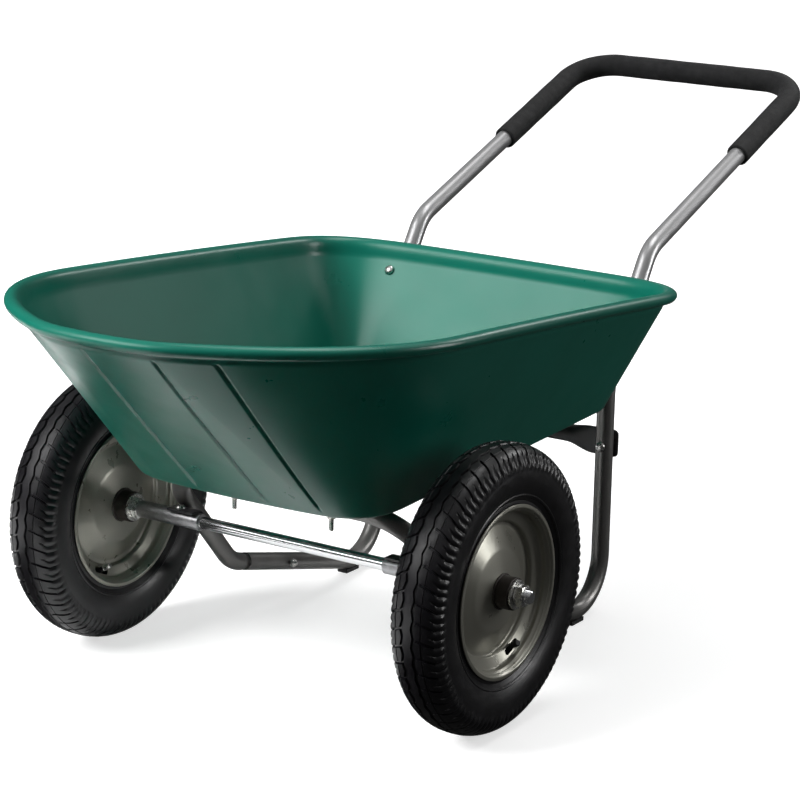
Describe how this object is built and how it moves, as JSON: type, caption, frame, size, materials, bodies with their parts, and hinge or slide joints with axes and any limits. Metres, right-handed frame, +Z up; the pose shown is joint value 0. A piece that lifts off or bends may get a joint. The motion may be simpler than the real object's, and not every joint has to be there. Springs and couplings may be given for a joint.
{
  "type": "garden cart",
  "caption": "Garden push cart with a deep poly tray on a bent-tube frame, a fixed axle with free-turning pneumatic wheels and a U-shaped handle with a foam grip.",
  "frame": {"origin": "on the ground, below the middle of the cart's length and width", "axes": "+Z up, +Y from the nose of the tray towards the push handle, +X to the side of the right wheel as it is named here, along the axle"},
  "size_m": [0.698, 1.4303, 0.6716],
  "materials": {
    "tray": "satin",
    "handle_paint": "satin metallic",
    "frame_paint": "satin",
    "black_paint": "satin",
    "zinc": "bright",
    "sleeve": "satin",
    "rim_paint": "satin",
    "hub_paint": "satin",
    "tyre": "matte",
    "rubber": "matte",
    "foam": "matte foam"
  },
  "bodies": {
    "cart_frame": {"tray": "tray", "front_frame_tube": "frame_paint", "handle_tube": "handle_paint", "foam_grip": "foam", "rear_brace": "black_paint", "axle_rod": "zinc", "left_leg_tube": "frame_paint", "left_foot_pad": "rubber", "left_axle_sleeve": "sleeve", "left_axle_bracket": "black_paint", "left_axle_washer": "zinc", "left_outer_axle_nut": "zinc", "left_inner_axle_washer": "zinc", "left_inner_axle_nut": "zinc", "left_floor_bolt": "zinc", "left_floor_nut": "zinc", "left_wall_bolt": "zinc", "left_wall_nut": "zinc", "left_wall_spacer": "black_paint", "left_frame_bolt": "zinc", "left_frame_nut": "zinc", "left_brace_bolt": "zinc", "left_brace_nut": "zinc", "left_bracket_bolt": "zinc", "right_leg_tube": "frame_paint", "right_foot_pad": "rubber", "right_axle_sleeve": "sleeve", "right_axle_bracket": "black_paint", "right_axle_washer": "zinc", "right_outer_axle_nut": "zinc", "right_inner_axle_washer": "zinc", "right_inner_axle_nut": "zinc", "right_floor_bolt": "zinc", "right_floor_nut": "zinc", "right_wall_bolt": "zinc", "right_wall_nut": "zinc", "right_wall_spacer": "black_paint", "right_frame_bolt": "zinc", "right_frame_nut": "zinc", "right_brace_bolt": "zinc", "right_brace_nut": "zinc", "right_bracket_bolt": "zinc"},
    "left_wheel": {"left_tyre": "tyre", "left_inner_tube": "rubber", "left_rim_valve_half": "rim_paint", "left_rim_plain_half": "rim_paint", "left_valve_stem": "rubber", "left_hub": "hub_paint", "left_valve_side_bearing": "zinc", "left_plain_side_bearing": "zinc"},
    "right_wheel": {"right_tyre": "tyre", "right_inner_tube": "rubber", "right_rim_valve_half": "rim_paint", "right_rim_plain_half": "rim_paint", "right_valve_stem": "rubber", "right_hub": "hub_paint", "right_valve_side_bearing": "zinc", "right_plain_side_bearing": "zinc"}
  },
  "joints": [
    {"name": "left_wheel_spin", "type": "hinge", "parent": "cart_frame", "child": "left_wheel", "pos_m": [-0.289, -0.32255, 0.1775], "axis": [1, 0, 0], "continuous": true},
    {"name": "right_wheel_spin", "type": "hinge", "parent": "cart_frame", "child": "right_wheel", "pos_m": [0.289, -0.32255, 0.1775], "axis": [1, 0, 0], "continuous": true}
  ]
}
